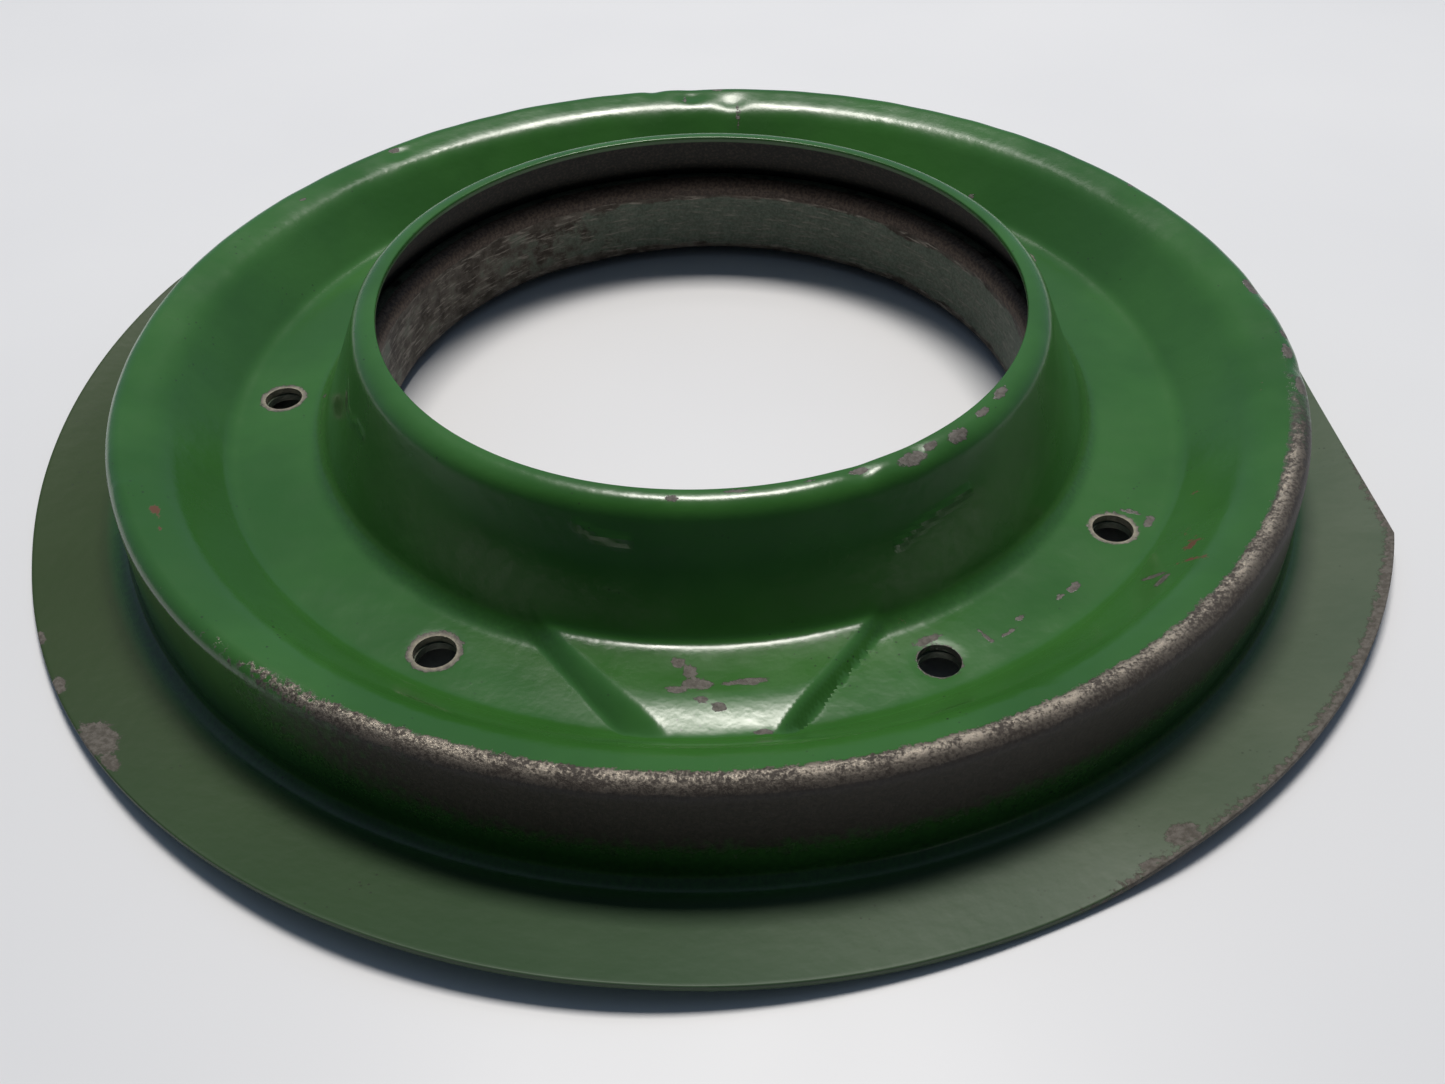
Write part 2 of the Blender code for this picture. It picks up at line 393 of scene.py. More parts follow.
DENTS = (
    # angle, radius, depth, length round the part, width across it
    (92.0, 131.5, 0.9, 3.5, 3.0),
    (86.5, 128.0, 0.7, 4.0, 2.5),
    (97.0, 134.0, 0.5, 2.5, 2.5),
    (133.0, 131.0, 0.5, 3.0, 2.0),
    (6.0, 134.5, 0.6, 5.0, 2.5),
    (352.0, 135.5, 0.7, 4.0, 2.5),
    (303.0, 77.0, 0.5, 4.0, 2.0),
    (294.0, 76.5, 0.4, 3.0, 2.0),
    (315.0, 134.5, 0.4, 5.0, 2.5),
    (262.0, 134.5, 0.3, 4.0, 2.5),
    (238.0, 135.0, 0.4, 6.0, 2.5),
)


def dent_depth(radius, angle):
    """How far the dents push the sheet down."""
    total = np.zeros_like(radius)
    for dent_angle, dent_radius, depth, length, width in DENTS:
        along = np.radians(angle_gap(angle, dent_angle)) * dent_radius / length
        across = (radius - dent_radius) / width
        total += depth * np.exp(-(along ** 2) - across ** 2)
    return total


def shape_shield(radius, height, angle, depth):
    """Turns section places into the used part's places, with its pad, bends and dents."""
    on_flange = np.clip((radius - FLANGE_ROOT) / (FLANGE_RADIUS - FLANGE_ROOT), 0.0, 1.2)
    edge_radius = FLANGE_ROOT + on_flange * (flange_reach(angle) - FLANGE_ROOT)
    shaped_radius = np.where(radius > FLANGE_ROOT, edge_radius, radius)
    height = raise_pad(radius, angle, height, depth)
    height = height + round_table(angle, FLANGE_LIFTS, 1.6) * on_flange ** FLANGE_CURL
    height = height + ripple(angle, *FLANGE_WAVES) * on_flange
    crest = bell(radius, *CREST_BAND)
    height = height + crest * (ripple(angle, *CREST_WAVES) + ripple(angle, *CREST_RIPPLES))
    height = height - dent_depth(radius, angle)
    collar = smooth_step(*COLLAR_BAND, radius)
    shaped_radius = shaped_radius + collar * ripple(angle, *COLLAR_WAVES)
    shaped_radius = shaped_radius + crest * ripple(angle, *RIM_WAVES)
    turn = np.radians(angle)
    x = shaped_radius * np.cos(turn)
    y = shaped_radius * np.sin(turn)
    on_rim = smooth_step(*OFFSET_STARTS, radius) * smooth_step(*OFFSET_ENDS, radius)
    x = x + DISH_OFFSET * on_rim
    height = height - hole_dip(x, y)
    return x, y, height


def shape_inner_ring(radius, height, angle, _depth):
    """Turns section places into the used sleeve's places: a little uneven, with a slight waist."""
    wall = smooth_step(*SLEEVE_WALL_BAND, radius)
    radius = radius + wall * ripple(angle, *SLEEVE_WAVES)
    sleeve = smooth_step(SLEEVE_TOP, SLEEVE_RIPPLES_FULL, height)
    radius = radius + wall * sleeve * ripple(angle, *SLEEVE_RIPPLES)
    radius = radius + wall * bell(height, *SLEEVE_WAIST_BAND) * SLEEVE_WAIST
    height = height + wall * ripple(angle, *SLEEVE_EDGE_WAVES)
    turn = np.radians(angle)
    return radius * np.cos(turn), radius * np.sin(turn), height


def turned_mesh(name, corners, angles, shaper):
    """A stamping's mesh: its closed section carried round the turn and shaped."""
    section, depths = sheet_section(corners)
    across = len(section)
    around = len(angles)
    radius = np.tile(section[:, 0], around)
    height = np.tile(section[:, 1], around)
    depth = np.tile(depths, around)
    angle = np.repeat(angles, across)
    x, y, z = shaper(radius, height, angle, depth)
    places = np.stack([x, y, z], axis=1) * MM
    step = np.arange(around)[:, None] * across
    next_step = ((np.arange(around) + 1) % around)[:, None] * across
    point = np.arange(across)[None, :]
    next_point = (np.arange(across)[None, :] + 1) % across
    corners_of_faces = [step + point, step + next_point, next_step + next_point, next_step + point]
    faces = np.stack([corner.ravel() for corner in corners_of_faces], axis=1)
    mesh = bpy.data.meshes.new(name)
    mesh.from_pydata(places.tolist(), [], faces.tolist())
    return mesh


def linked(name, data):
    """A new object in the scene, from a mesh, a light or a camera."""
    made = bpy.data.objects.new(name, data)
    bpy.context.scene.collection.objects.link(made)
    return made


def hole_punch(name, shift):
    """One upright cylinder for each bolt hole."""
    shape = bmesh.new()
    for x, y in map(hole_place, HOLE_ANGLES):
        place = Matrix.Translation(((x + shift[0]) * MM, (y + shift[1]) * MM, BAND_TOP * MM))
        bmesh.ops.create_cone(
            shape, cap_ends=True, segments=HOLE_SIDES, radius1=HOLE_RADIUS * MM,
            radius2=HOLE_RADIUS * MM, depth=PUNCH_LENGTH * MM, matrix=place,
        )
    mesh = bpy.data.meshes.new(name)
    shape.to_mesh(mesh)
    shape.free()
    return linked(name, mesh)


def punched(piece, shift):
    """Cuts the bolt holes out of a piece and leaves no helper behind."""
    punch = hole_punch("punch", shift)
    cut = piece.modifiers.new("holes", "BOOLEAN")
    cut.operation = "DIFFERENCE"
    cut.object = punch
    cut.solver = "EXACT"
    graph = bpy.context.evaluated_depsgraph_get()
    whole = piece.data
    piece.data = bpy.data.meshes.new_from_object(piece.evaluated_get(graph))
    piece.data.name = piece.name
    piece.modifiers.clear()
    bpy.data.meshes.remove(whole)
    punch_mesh = punch.data
    bpy.data.objects.remove(punch)
    bpy.data.meshes.remove(punch_mesh)


def faced_outwards(mesh):
    """Turns all faces of a closed mesh outwards."""
    shape = bmesh.new()
    shape.from_mesh(mesh)
    bmesh.ops.recalc_face_normals(shape, faces=shape.faces)
    shape.to_mesh(mesh)
    shape.free()


def polar_places(mesh):
    """Radius, angle and height of each vertex, in millimetres and degrees."""
    places = np.zeros(len(mesh.vertices) * 3)
    mesh.vertices.foreach_get("co", places)
    places = places.reshape(-1, 3) / MM
    radius = np.hypot(places[:, 0], places[:, 1])
    angle = np.degrees(np.arctan2(places[:, 1], places[:, 0])) % 360.0
    return radius, angle, places[:, 2]


def write_mask(mesh, name, values):
    """Stores a value from 0 to 1 at each vertex, for the materials to read."""
    attribute = mesh.attributes.new(name, "FLOAT", "POINT")
    attribute.data.foreach_set("value", np.clip(values, 0.0, 1.0).astype(np.float32))


# ---------------------------------------------------------------- wear, painted shade and painted sheen


PAINT_CHIPS = (
    # angle, radius, half-length round the part, half-width across it, strength
    (267.0, 95.6, 1.2, 1.3, 1.0), (268.4, 98.2, 1.2, 2.0, 1.0), (269.3, 101.5, 2.6, 1.5, 1.0),
    (267.2, 103.0, 2.0, 0.8, 1.0), (269.8, 105.4, 1.3, 0.8, 1.0), (271.4, 107.4, 1.4, 1.0, 1.0),
    (274.9, 101.4, 3.6, 0.8, 1.0), (272.6, 101.6, 1.6, 0.6, 0.9), (275.5, 113.6, 1.6, 0.7, 0.9),
    (302.2, 77.6, 3.0, 1.3, 1.0), (306.0, 76.8, 1.6, 0.8, 0.9), (311.1, 77.9, 2.4, 1.2, 1.0),
    (318.0, 77.0, 2.0, 0.8, 0.9), (323.8, 76.6, 2.6, 1.0, 0.9), (265.8, 77.2, 1.6, 0.7, 0.8),
    (274.9, 75.6, 2.6, 0.6, 0.9), (286.0, 75.4, 2.0, 0.5, 0.8), (293.9, 76.2, 2.4, 0.8, 0.9),
    (221.8, 156.3, 5.0, 3.2, 1.0), (214.7, 157.2, 2.6, 1.3, 1.0), (208.9, 157.4, 1.8, 0.9, 1.0),
    (224.6, 157.2, 3.0, 1.2, 1.0), (302.9, 155.6, 3.0, 2.2, 1.0), (299.5, 156.9, 2.4, 0.9, 0.9),
    (318.0, 121.4, 2.6, 0.8, 0.9), (319.5, 118.5, 1.0, 2.6, 0.8), (316.0, 105.6, 2.2, 0.8, 0.9),
    (313.6, 105.0, 1.2, 0.7, 0.8), (331.8, 105.2, 0.6, 3.0, 0.8), (331.0, 110.0, 2.2, 0.8, 0.9),
    (305.1, 105.0, 2.6, 0.5, 0.8), (302.6, 103.2, 0.5, 2.2, 0.8), (307.6, 103.6, 1.4, 0.6, 0.8),
    (296.6, 98.2, 3.4, 0.9, 0.9), (6.4, 135.4, 3.0, 1.2, 1.0), (2.5, 136.0, 1.8, 1.0, 0.9),
    (354.4, 135.2, 2.6, 1.2, 1.0), (348.6, 136.0, 3.4, 1.3, 1.0), (357.6, 136.4, 1.6, 1.0, 0.9),
    (30.0, 135.2, 1.2, 0.8, 0.8), (88.0, 133.6, 2.0, 0.8, 0.8), (92.5, 129.0, 0.6, 3.0, 0.8),
    (85.0, 124.5, 0.6, 4.0, 0.8), (132.7, 131.5, 1.6, 0.8, 1.0), (147.9, 129.4, 1.2, 0.6, 0.8),
    (48.0, 116.0, 1.0, 0.8, 0.7), (38.0, 99.0, 1.8, 1.0, 0.9), (182.0, 92.0, 1.0, 0.6, 0.7),
)

RUST_SPOTS = (
    (208.9, 127.8, 2.4, 1.0, 1.0), (211.8, 128.4, 1.0, 0.6, 0.8), (324.4, 121.6, 3.4, 1.6, 0.75),
    (321.0, 124.0, 1.2, 4.0, 0.7), (327.5, 119.0, 2.2, 1.2, 0.6), (295.5, 92.0, 1.2, 1.0, 0.6),
    (206.5, 118.0, 0.5, 3.0, 0.55), (349.0, 128.0, 3.0, 1.0, 0.5), (335.0, 117.0, 1.6, 1.2, 0.5),
)

# Radius of the bare ring round each hole, in the order of the holes. A hole with a ring narrower
# than RIM_LIMIT is painted to its edge and has no bright rim.
BARE_RADII = (5.5, 4.4, 5.2, 5.3, 5.2, 5.3, 5.4)
RING_BLUR = 2.6
RIM_LIMIT = 5.0
RIM_RADII = (5.15, 4.7)
HALF_VALUE = 0.69
RUN_WIDTH = 0.9

# The crest's top is a little inside its corner, and its wall begins a little below it
CREST_INSET = 2.2
WALL_INSET = 1.8
WALL_START = 2.3

# Bands of wear over the crest, in millimetres from its top: negative on its inner side, positive
# down the wall
BARE_STARTS = (-4.0, 0.2)
BARE_ENDS = (3.8, 1.0)
RIDGE_MIDDLE = -0.7
RIDGE_WIDTH = 1.3
FILM_STARTS = (-3.2, -0.6)
FILM_ENDS = (26.0, 9.0)
CREST_LIMITS = (126.0, 140.5)
CREST_FOOT = 5.0

# The other masks of the shield: radii, widths and heights
EDGE_WEAR_START = 147.0
EDGE_WEAR_WIDTH = 4.6
FLANGE_START = (139.0, 142.5)
# Painted shade: darker paint along the foot of the collar and low on the outer wall, where those
# creases lie in shade
COLLAR_FOOT_SHADE = (92.4, 1.5)
WALL_FOOT_SHADE = (138.5, 2.4)
WALL_FOOT_SHADE_HEIGHTS = (23.0, 8.0)
# Painted shade on the collar's inner face: softness of its edge, the radius it stays inside, and the
# depths below the lip over which it begins
INSIDE_EDGE = 0.3
INSIDE_LIMIT = 91.0
INSIDE_TOP = (0.9, 1.9)

# The sleeve's green overspray and the rust of its flange
SPRAY_FOOT = (3.0, 6.5)
SPRAY_TOP = (20.5, 17.0)
SLEEVE_LIMIT = 80.0
FLANGE_SPRAY = 0.6
RUST_HEIGHTS = (18.0, 21.0)
RUST_RADII = (80.6, 79.4)


def blots(radius, angle, table):
    """Oval spots: their strength at the middle, half of it at the half-length and half-width."""
    total = np.zeros_like(radius)
    for blot_angle, blot_radius, length, width, strength in table:
        along = np.radians(angle_gap(angle, blot_angle)) * blot_radius
        away = (along / length) ** 2 + ((radius - blot_radius) / width) ** 2
        total = np.maximum(total, strength * np.exp(-HALF_VALUE * away))
    return total


def hole_rings(radius, angle):
    """Bare rings, falling through one half where the paint begins, and the bright rims in them."""
    turn = np.radians(angle)
    x = radius * np.cos(turn)
    y = radius * np.sin(turn)
    total = np.zeros_like(radius)
    rims = np.zeros_like(radius)
    for hole_angle, bare_radius in zip(HOLE_ANGLES, BARE_RADII):
        hole_x, hole_y = hole_place(hole_angle)
        away = np.hypot(x - hole_x, y - hole_y)
        total = np.maximum(total, np.clip(0.5 + (bare_radius - away) / RING_BLUR, 0.0, 1.0))
        if bare_radius > RIM_LIMIT:
            rims = np.maximum(rims, smooth_step(*RIM_RADII, away))
    return total, rims


PAINT_RUNS = (
    # (angle, height) points along thick runs of paint on the collar's side
    ((196.0, 30.5), (198.0, 30.8), (202.0, 27.4), (204.5, 26.6), (207.0, 28.0), (210.0, 27.6)),
    ((297.0, 24.5), (301.0, 26.5), (305.0, 27.6), (310.0, 28.4)),
    ((253.0, 33.0), (256.0, 31.6), (260.0, 31.2)),
)


def paint_runs(angle, height):
    """1 along the middle of each run of paint, fading to its sides."""
    total = np.zeros_like(angle)
    for run in PAINT_RUNS:
        for (start_angle, start_height), (end_angle, end_height) in zip(run, run[1:]):
            length = math.radians(end_angle - start_angle) * COLLAR_TOP_RADIUS
            rise = end_height - start_height
            along = np.radians(angle_gap(angle, start_angle)) * COLLAR_TOP_RADIUS
            up = height - start_height
            share = np.clip((along * length + up * rise) / (length**2 + rise**2), 0.0, 1.0)
            away = np.hypot(along - share * length, up - share * rise)
            total = np.maximum(total, bell(away, 0.0, RUN_WIDTH))
    return total


def across_crest(radius, height):
    """Distance over the crest: negative on its inner side, positive down the wall."""
    below = np.maximum(CREST_TOP - WALL_START - height, 0.0)
    return radius - (CREST_RADIUS - CREST_INSET) + below * (radius > CREST_RADIUS - WALL_INSET)


# Shares of wear round the part, as (angle, share)
CREST_BARE = (
    (0, 0.12), (12, 0.10), (30, 0.06), (60, 0.0), (80, 0.1), (100, 0.1), (120, 0.0), (190, 0.0),
    (200, 0.12), (215, 0.16), (230, 0.34), (240, 0.70), (252, 1.0), (325, 1.0), (336, 0.75),
    (345, 0.40), (352, 0.20), (360, 0.12),
)
WALL_BROWN = (
    (0, 0.16), (15, 0.1), (40, 0.05), (180, 0.0), (225, 0.1), (238, 0.55), (255, 0.9), (300, 1.0),
    (330, 1.0), (340, 0.8), (350, 0.4), (360, 0.16),
)
EDGE_BARE = (
    (0, 0.15), (60, 0.1), (150, 0.1), (200, 0.15), (218, 0.3), (240, 0.12), (290, 0.2), (300, 0.75),
    (312, 0.7), (322, 0.95), (336, 1.0), (346, 0.6), (360, 0.15),
)
# Share round the flange of the lighter, greyer paint: dust, and a painted sheen on the side that
# catches the light
DUST_AND_SHEEN = ((0, 0.8), (60, 0.3), (180, 0.0), (240, 0.1), (280, 0.4), (305, 1.0), (360, 1.0))
OLIVE_SHARE = ((0, 0.0), (120, 0.3), (155, 1.0), (210, 1.0), (240, 0.4), (270, 0.0), (360, 0.0))
SPRAYED = ((0, 1.0), (95, 1.0), (112, 0.55), (150, 0.25), (200, 0.6), (360, 1.0))


def write_crest_masks(mesh, radius, angle, height):
    """Bare steel over the crest, the bright ridge in it, and the brown film down the wall."""
    over = across_crest(radius, height)
    on_rim = (radius > CREST_LIMITS[0]) & (radius < CREST_LIMITS[1]) & (height > CREST_FOOT)
    band = smooth_step(*BARE_STARTS, over) * smooth_step(*BARE_ENDS, over)
    bare = band * round_table(angle, CREST_BARE, 3.0)
    write_mask(mesh, "crest_bare", np.where(on_rim, bare, 0.0))
    write_mask(mesh, "ridge", bell(over, RIDGE_MIDDLE, RIDGE_WIDTH))
    film = smooth_step(*FILM_STARTS, over) * smooth_step(*FILM_ENDS, over)
    brown = film * round_table(angle, WALL_BROWN, 4.0)
    write_mask(mesh, "brown_film", np.where(on_rim, brown, 0.0))


def write_chip_masks(mesh, radius, angle):
    """Chips, the rings round the holes, the worn edge of the flange, and rust."""
    rings, rims = hole_rings(radius, angle)
    write_mask(mesh, "rim", rims)
    chips = np.maximum(blots(radius, angle, PAINT_CHIPS), rings)
    near_edge = 1.0 - np.clip((flange_reach(angle) - radius) / EDGE_WEAR_WIDTH, 0.0, 1.0)
    worn = near_edge * round_table(angle, EDGE_BARE, 2.0)
    edge = np.where(radius > EDGE_WEAR_START, worn, 0.0)
    write_mask(mesh, "chipped", np.maximum(chips, edge * 0.9))
    write_mask(mesh, "rusted", blots(radius, angle, RUST_SPOTS))


def write_shield_masks(mesh):
    """Every mask that green_paint reads."""
    radius, angle, height = polar_places(mesh)
    write_crest_masks(mesh, radius, angle, height)
    write_chip_masks(mesh, radius, angle)
    write_mask(mesh, "runs", paint_runs(angle, height))
    write_mask(mesh, "flange", smooth_step(*FLANGE_START, radius))
    # Painted shade in the crease at the collar's foot and low on the outer wall
    foot = bell(radius, *COLLAR_FOOT_SHADE)
    low_wall = bell(radius, *WALL_FOOT_SHADE) * smooth_step(*WALL_FOOT_SHADE_HEIGHTS, height)
    write_mask(mesh, "crease_shade", foot * 0.45 + low_wall * 0.7)
    # Lighter flange paint: partly dust, partly painted sheen
    write_mask(mesh, "dust_and_sheen", round_table(angle, DUST_AND_SHEEN, 6.0))
    write_mask(mesh, "olive", round_table(angle, OLIVE_SHARE, 6.0))
    # Painted shade on the collar's inner face under the lip, which lies in shade
    behind = collar_radius(height, SHEET / 2.0) - radius
    under = smooth_step(*INSIDE_TOP, LIP_TOP - height) * (radius < INSIDE_LIMIT)
    write_mask(mesh, "inside", smooth_step(-INSIDE_EDGE, INSIDE_EDGE, behind) * under)


def write_ring_masks(mesh):
    """The masks that worn_steel reads."""
    radius, angle, height = polar_places(mesh)
    edge = ripple(angle, *SPRAY_EDGE_WAVES)
    low = smooth_step(*SPRAY_FOOT, height - 0.6 * edge)
    high = smooth_step(*SPRAY_TOP, height + 0.9 * edge)
    spray = low * high * round_table(angle, SPRAYED, 6.0)
    write_mask(mesh, "overspray", np.where(radius < SLEEVE_LIMIT, spray, FLANGE_SPRAY))
    rust = smooth_step(*RUST_HEIGHTS, height) * smooth_step(*RUST_RADII, radius)
    write_mask(mesh, "rusted", rust)


# ---------------------------------------------------------------- materials


SOCKETS = {
    "colour": "Base Color", "metallic": "Metallic", "roughness": "Roughness",
    "shine": "Specular IOR Level", "normal": "Normal",
}


class Finish:
    """A material and short calls that add nodes to it."""

    def __init__(self, name, colour):
        self.material = bpy.data.materials.new(name)
        self.material.use_nodes = True
        self.material.diffuse_color = (*colour, 1.0)
        self.tree = self.material.node_tree
        self.shader = self.tree.nodes["Principled BSDF"]

    def put(self, value, socket):
        if isinstance(value, bpy.types.NodeSocket):
            self.tree.links.new(value, socket)
        elif isinstance(value, tuple) and socket.type == "RGBA":
            socket.default_value = (*value, 1.0)
        else:
            socket.default_value = value

    def node(self, kind, inputs, **settings):
        made = self.tree.nodes.new(kind)
        for name, value in settings.items():
            setattr(made, name, value)
        for key, value in inputs.items():
            self.put(value, made.inputs[key])
        return made

    def math(self, operation, first, second):
        return self.node("ShaderNodeMath", {0: first, 1: second}, operation=operation).outputs[0]

    def times(self, first, second):
        return self.math("MULTIPLY", first, second)

    def plus(self, first, second):
        return self.math("ADD", first, second)

    def vector(self, operation, first, second=(0.0, 0.0, 0.0)):
        return self.node("ShaderNodeVectorMath", {0: first, 1: second}, operation=operation)

    def mask(self, name):
        return self.node("ShaderNodeAttribute", {}, attribute_name=name).outputs["Fac"]

    def step(self, value, low, high):
        """0 below low and 1 above high, with a smooth change between."""
        inputs = {"Value": value, "From Min": low, "From Max": high}
        return self.node("ShaderNodeMapRange", inputs, interpolation_type="SMOOTHSTEP").outputs[0]

    def range(self, value, low, high, to_low, to_high):
        inputs = {"Value": value, "From Min": low, "From Max": high}
        inputs |= {"To Min": to_low, "To Max": to_high}
        return self.node("ShaderNodeMapRange", inputs).outputs[0]

    def mix(self, share, first, second):
        made = self.node("ShaderNodeMix", {}, data_type="RGBA")
        self.put(share, made.inputs[0])
        self.put(first, made.inputs[6])
        self.put(second, made.inputs[7])
        return made.outputs[2]

    def blend(self, share, first, second):
        made = self.node("ShaderNodeMix", {}, data_type="FLOAT")
        self.put(share, made.inputs[0])
        self.put(first, made.inputs[2])
        self.put(second, made.inputs[3])
        return made.outputs[0]

    def place(self):
        return self.node("ShaderNodeTexCoord", {}).outputs["Object"]

    def noise(self, vector, scale, detail=3.0, roughness=0.5):
        inputs = {"Vector": vector, "Scale": scale, "Detail": detail, "Roughness": roughness}
        return self.node("ShaderNodeTexNoise", inputs).outputs[0]

    def cells(self, vector, scale):
        inputs = {"Vector": vector, "Scale": scale}
        return self.node("ShaderNodeTexVoronoi", inputs, feature="F1").outputs["Distance"]

    def turned_place(self, stretch):
        """A coordinate drawn out along the turn, for marks that run round the part."""
        place = self.place()
        flat = self.vector("MULTIPLY", place, (1.0, 1.0, 0.0)).outputs[0]
        unit = self.vector("NORMALIZE", flat).outputs[0]
        ring = self.vector("SCALE", unit)
        self.put(stretch, ring.inputs["Scale"])
        length = self.vector("LENGTH", flat).outputs["Value"]
        height = self.node("ShaderNodeSeparateXYZ", {0: place}).outputs[2]
        level = self.plus(length, self.times(height, 1.7))
        up = self.node("ShaderNodeCombineXYZ", {2: level}).outputs[0]
        return self.vector("ADD", ring.outputs[0], up).outputs[0]

    def bump(self, height, distance, normal=None):
        inputs = {"Height": height, "Distance": distance, "Strength": 1.0}
        if normal is not None:
            inputs["Normal"] = normal
        return self.node("ShaderNodeBump", inputs).outputs[0]

    def finish(self, **sockets):
        for key, value in sockets.items():
            self.put(value, self.shader.inputs[SOCKETS[key]])
        return self.material


PAINT = (0.038, 0.138, 0.024)
PAINT_DEEP = (0.027, 0.106, 0.017)
PAINT_DULL = (0.022, 0.056, 0.024)
PAINT_RUBBED = (0.030, 0.068, 0.032)
# Lighter, greyer flange paint: dust and a painted sheen
PAINT_DUST_AND_SHEEN = (0.098, 0.116, 0.078)
OLIVE = (0.027, 0.044, 0.009)
# Colour of the painted shade in the creases
CREASE_SHADE = (0.010, 0.028, 0.009)
SPECK = (0.02, 0.03, 0.015)
CHIP_HALO = (0.045, 0.055, 0.03)
CHIP_DARK = (0.085, 0.074, 0.060)
CHIP_LIGHT = (0.150, 0.133, 0.115)
STEEL_LIGHT = (0.34, 0.295, 0.24)
STEEL_DARK = (0.050, 0.038, 0.029)
STEEL_RIM = (0.34, 0.31, 0.24)
BROWN = (0.024, 0.017, 0.012)
BROWN_LIGHT = (0.050, 0.038, 0.028)
RUST = (0.11, 0.045, 0.022)
# Near black with brown patches: the painted shade on the collar's inner face
INSIDE_SHADE = (0.012, 0.012, 0.009)
INSIDE_SHADE_BROWN = (0.045, 0.035, 0.026)
SLEEVE_DARK = (0.040, 0.032, 0.025)
SLEEVE_LIGHT = (0.13, 0.115, 0.095)
SLEEVE_STREAK = (0.21, 0.19, 0.16)
SPRAY_DARK = (0.055, 0.085, 0.052)
SPRAY_LIGHT = (0.10, 0.14, 0.095)
SLEEVE_RUST_DARK = (0.050, 0.030, 0.020)
SLEEVE_RUST_LIGHT = (0.11, 0.075, 0.052)
TABLE_DARK = (0.77, 0.765, 0.785)
TABLE_MIDDLE = (0.78, 0.78, 0.80)
TABLE_LIGHT = (0.80, 0.795, 0.81)

# Noise textures: waves in a metre, detail, roughness
BROAD_NOISE = (28.0, 4.0)
FINE_NOISE = (900.0, 4.0, 0.6)
RAGGED_NOISE = (640.0, 6.0, 0.7)
PATCHY_NOISE = (1300.0, 5.0, 0.7)
SPECK_CLOUDS = (60.0, 2.0)
SPECK_CELLS = 520.0
POLISH_CLOUDS = (140.0, 3.0)
GLOSS_CLOUDS = (70.0, 3.0)
PEEL_FINE = (380.0, 2.0)
PEEL_BROAD = (130.0, 1.0)
SLEEVE_STREAKS = (800.0, 5.0, 0.65)
SLEEVE_PATCHES = (160.0, 6.0, 0.7)
SLEEVE_FINE = (1300.0, 4.0, 0.6)
TABLE_CLOUDS = (9.0, 3.0)
RUBBED_STRETCH = 0.03
SLEEVE_STRETCH = 0.02

# Most of a noise texture lies between these two values
NOISE_SPAN = (0.3, 0.7)

# A mask and its noise pass from none to full between these two values
CHIP_EDGE = (0.47, 0.52)
HALO_EDGE = (0.38, 0.47)
WORN_EDGE = (0.42, 0.58)
RUST_EDGE = (0.50, 0.62)
FILM_EDGE = (0.30, 0.75)
POLISH_EDGE = (0.62, 0.82)
SPRAY_EDGE = (0.35, 0.62)
SLEEVE_RUST_EDGE = (0.45, 0.75)

# Roughness of each finish; a pair runs from the low to the high end of the noise
GLOSS = (0.17, 0.28)
FLANGE_ROUGH = 0.46
FILM_ROUGH = 0.5
STEEL_ROUGH = (0.60, 0.34)
RUST_ROUGH = 0.8
INSIDE_ROUGH = 0.7
SLEEVE_ROUGH = (0.52, 0.38)
SLEEVE_RUST_ROUGH = 0.62
TABLE_ROUGH = (0.44, 0.52)

# Heights of the fine relief, in metres
PEEL_DEPTH = 0.00006
RUN_DEPTH = 0.00025
PAINT_DEPTH = 0.00009
PIT_DEPTH = 0.00030
BRUSHED_DEPTH = 0.00008
SLEEVE_PIT_DEPTH = 0.00022


